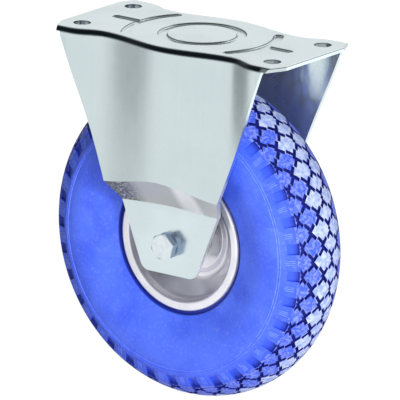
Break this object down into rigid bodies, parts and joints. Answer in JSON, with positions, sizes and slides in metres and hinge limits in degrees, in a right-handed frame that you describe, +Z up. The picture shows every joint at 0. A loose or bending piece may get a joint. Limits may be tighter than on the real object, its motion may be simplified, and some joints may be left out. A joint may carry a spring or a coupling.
{
  "type": "fixed castor",
  "caption": "Fixed castor: a foam-filled blue tyre on a pressed steel rim, turning on a roller bearing in a folded sheet-steel bracket with a bolt-on top plate.",
  "frame": {"origin": "centre of the top plate's upper face, at the centre of its four bolt holes", "axes": "+Z up, out of the plate's mounting face; +Y along the axle, from the bolt head to the nut; +X the rolling direction"},
  "size_m": [0.26, 0.116, 0.294],
  "materials": {
    "zinc_sheet": "satin zinc plating",
    "plated_fastener": "bright zinc plating",
    "ground_steel": "ground, lightly greased",
    "plated_rim": "bright plated",
    "blue_tyre": "moulded, satin",
    "nylon": "natural",
    "black_plastic": "moulded"
  },
  "bodies": {
    "fork": {"bracket": "zinc_sheet", "axle_bolt": "plated_fastener", "spring_washer": "plated_fastener", "nut_washer": "plated_fastener", "axle_nut": "plated_fastener", "nut_insert": "nylon", "axle_tube": "ground_steel", "spacer_near": "ground_steel", "spacer_far": "ground_steel"},
    "wheel": {"hub_tube": "ground_steel", "end_cap_near": "black_plastic", "end_cap_far": "black_plastic", "thrust_ring_near": "ground_steel", "thrust_ring_far": "ground_steel", "rim_near": "plated_rim", "rim_far": "plated_rim", "tyre": "blue_tyre"},
    "roller_set": {"roller_cage": "nylon", "rollers": "ground_steel"}
  },
  "joints": [
    {"name": "wheel_spin", "type": "hinge", "parent": "fork", "child": "wheel", "pos_m": [0, 0, -0.164], "axis": [0, 1, 0], "continuous": true},
    {"name": "roller_set_spin", "type": "hinge", "parent": "fork", "child": "roller_set", "pos_m": [0, 0, -0.164], "axis": [0, 1, 0], "continuous": true}
  ],
  "couplings": [
    {"joint": "roller_set_spin", "follows": "wheel_spin", "ratio": 0.6}
  ]
}
